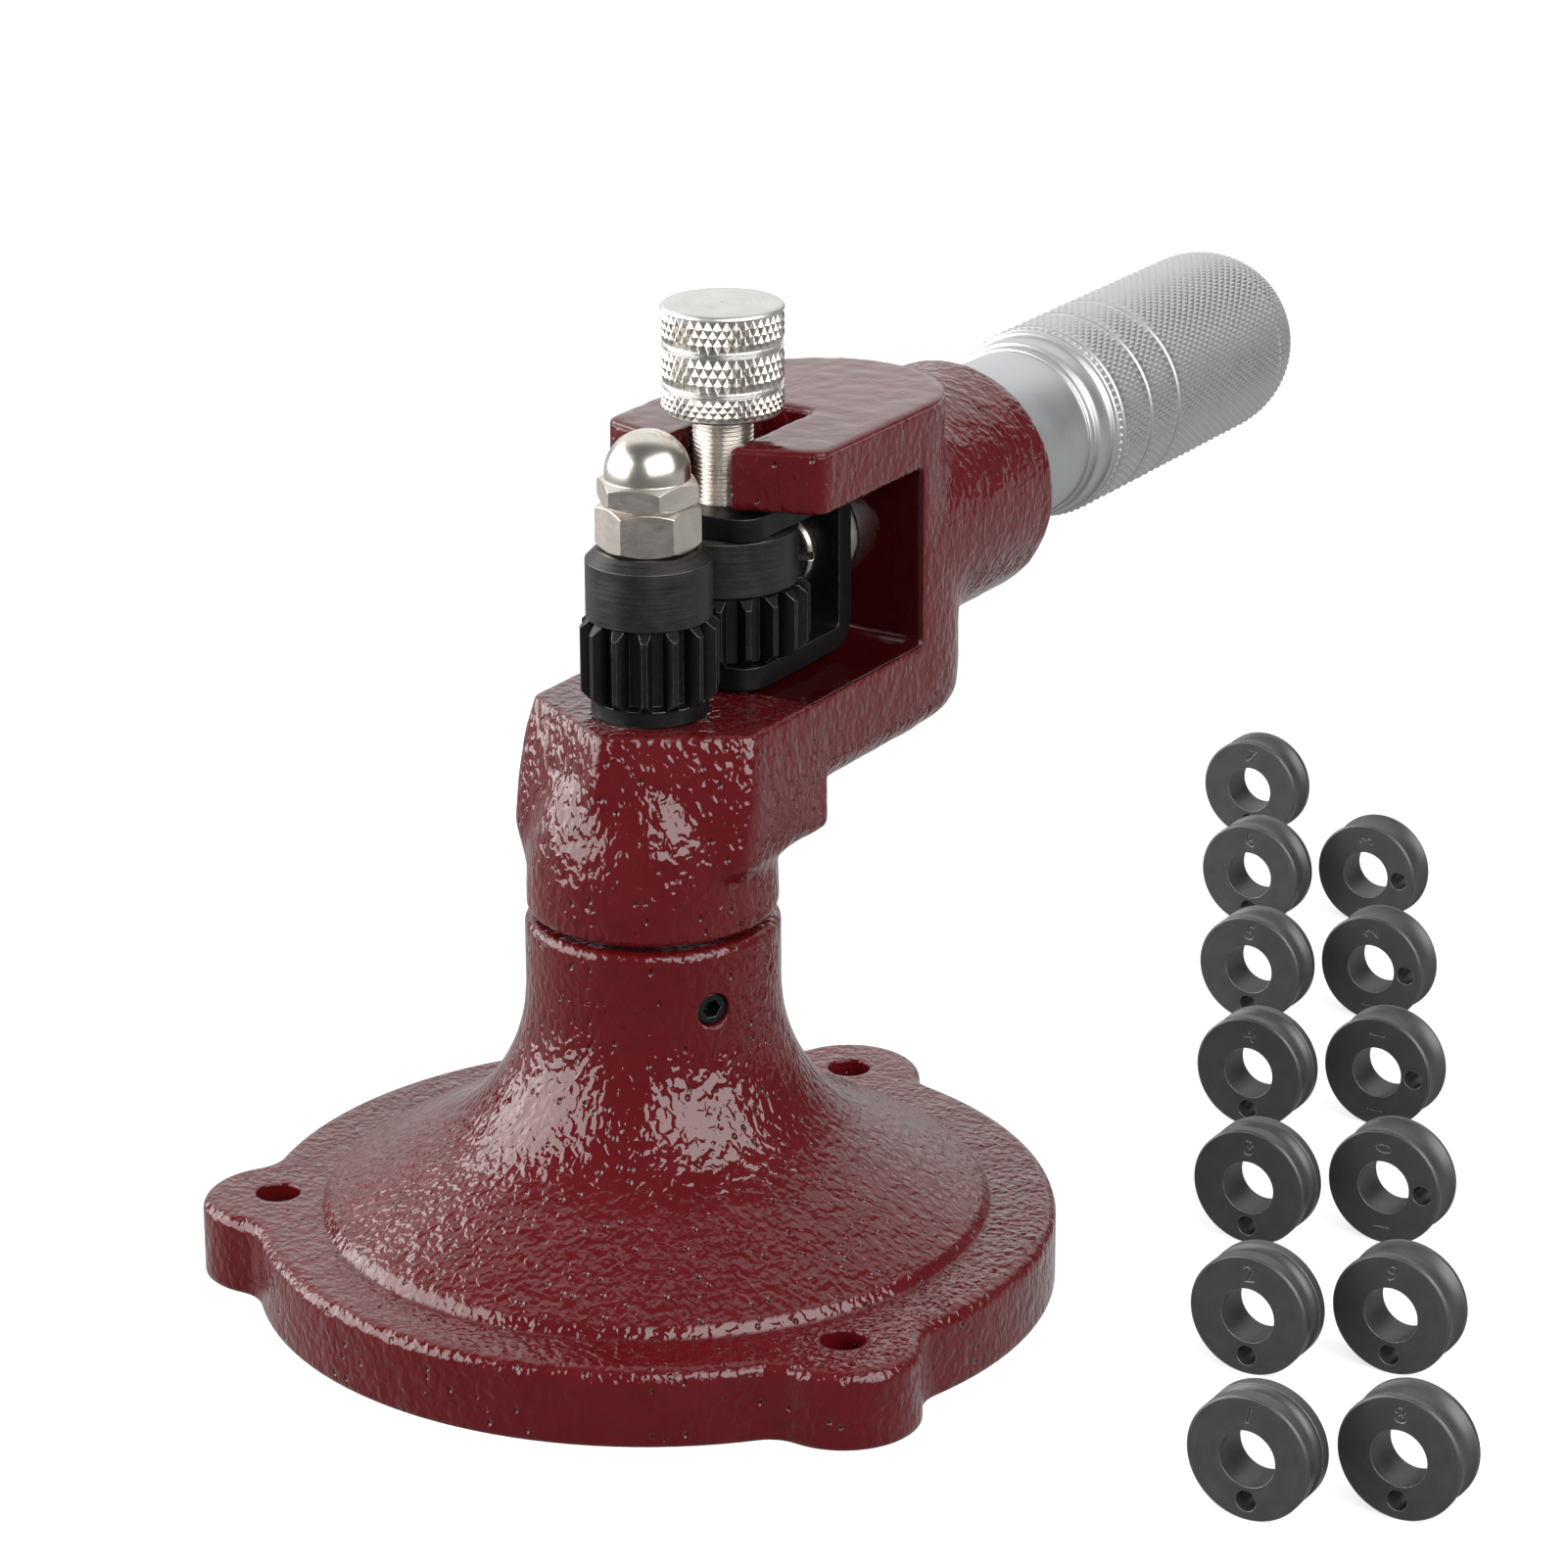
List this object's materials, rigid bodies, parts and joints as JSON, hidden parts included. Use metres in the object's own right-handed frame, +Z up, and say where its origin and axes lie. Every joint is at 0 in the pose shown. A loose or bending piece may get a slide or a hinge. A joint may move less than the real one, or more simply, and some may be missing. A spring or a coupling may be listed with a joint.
{
  "type": "ring stretcher",
  "caption": "Bench ring enlarger: a geared roller in a screw-driven carriage swivels round a fixed roller on a flared base; the handle presses and swings it; grooved spare rollers beside.",
  "frame": {"origin": "on the swivel axis at the underside of the base flange", "axes": "+Z up along the swivel axis, +Y from the swivel axis towards the handle, +X to the right of someone facing the rear of the tool from its roller end"},
  "size_m": [0.1947, 0.2729, 0.1412],
  "materials": {
    "base_enamel": "glossy dark red enamel on a rough casting",
    "head_enamel": "glossy dark red enamel on a rough casting",
    "black_screw": "black oxide",
    "post_steel": "turned and ground",
    "key_steel": "ground",
    "washer_steel": "oiled steel",
    "gear_black": "black oxide, hobbed teeth",
    "rear_gear_black": "black oxide, hobbed teeth",
    "pin_steel": "ground dowel",
    "roller_black": "black oxide, turned",
    "rear_roller_black": "black oxide, turned",
    "nut_nickel": "bright nickel plate",
    "acorn_nickel": "bright nickel plate, polished dome",
    "bronze": "oiled bearing bronze",
    "bracket_black": "satin black oxide",
    "axle_nickel": "bright nickel plate, fine thread",
    "knob_nickel": "bright nickel plate, diamond knurl",
    "screw_steel": "bright steel",
    "retaining_steel": "bright zinc plate",
    "handle_aluminium": "satin anodised, fine diamond knurl",
    "die_black": "black oxide with worn edges and a stamped number"
  },
  "bodies": {
    "base": {"base_casting": "base_enamel", "base_set_screw": "black_screw", "pivot_post": "post_steel", "thrust_washer": "washer_steel", "gear_key": "key_steel", "front_gear": "gear_black", "front_drive_pin": "pin_steel", "front_roller": "roller_black", "post_hex_nut": "nut_nickel", "acorn_nut": "acorn_nickel", "die_01": "die_black", "die_02": "die_black", "die_03": "die_black", "die_04": "die_black", "die_05": "die_black", "die_06": "die_black", "die_07": "die_black", "die_08": "die_black", "die_09": "die_black", "die_10": "die_black", "die_11": "die_black", "die_12": "die_black", "die_13": "die_black"},
    "head": {"head_casting": "head_enamel", "pivot_bush": "bronze", "screw_bush": "bronze"},
    "carriage": {"carriage_bracket": "bracket_black"},
    "screw": {"pressure_screw": "screw_steel", "retaining_screw": "retaining_steel", "handle": "handle_aluminium", "handle_grub_screw": "black_screw"},
    "rear_rollers": {"rear_gear": "rear_gear_black", "rear_roller": "rear_roller_black", "rear_drive_pin": "pin_steel"},
    "axle": {"axle_pin": "axle_nickel"},
    "knob": {"axle_knob": "knob_nickel"}
  },
  "joints": [
    {"name": "head_swivel", "type": "hinge", "parent": "base", "child": "head", "pos_m": [0, 0, 0.0569], "axis": [0, 0, 1], "continuous": true},
    {"name": "carriage_slide", "type": "slide", "parent": "head", "child": "carriage", "axis": [0, 1, 0], "range_m": [0, 0.006]},
    {"name": "handle_turn", "type": "hinge", "parent": "carriage", "child": "screw", "pos_m": [0, 0.0389, 0.101], "axis": [0, 1, 0], "range_deg": [0, 1440]},
    {"name": "rear_roller_spin", "type": "hinge", "parent": "carriage", "child": "rear_rollers", "pos_m": [0, 0.02, 0.0907], "axis": [0, 0, 1], "continuous": true},
    {"name": "axle_lift", "type": "slide", "parent": "carriage", "child": "axle", "axis": [0, 0, 1], "range_m": [0, 0.024]},
    {"name": "knob_turn", "type": "hinge", "parent": "axle", "child": "knob", "pos_m": [0, 0.02, 0.1253], "axis": [0, 0, 1], "range_deg": [0, 8640]}
  ],
  "couplings": [
    {"joint": "handle_turn", "follows": "carriage_slide", "rad_per_m": 4188.8},
    {"joint": "rear_roller_spin", "follows": "head_swivel", "ratio": 0.77778},
    {"joint": "knob_turn", "follows": "axle_lift", "rad_per_m": 6283.2}
  ]
}
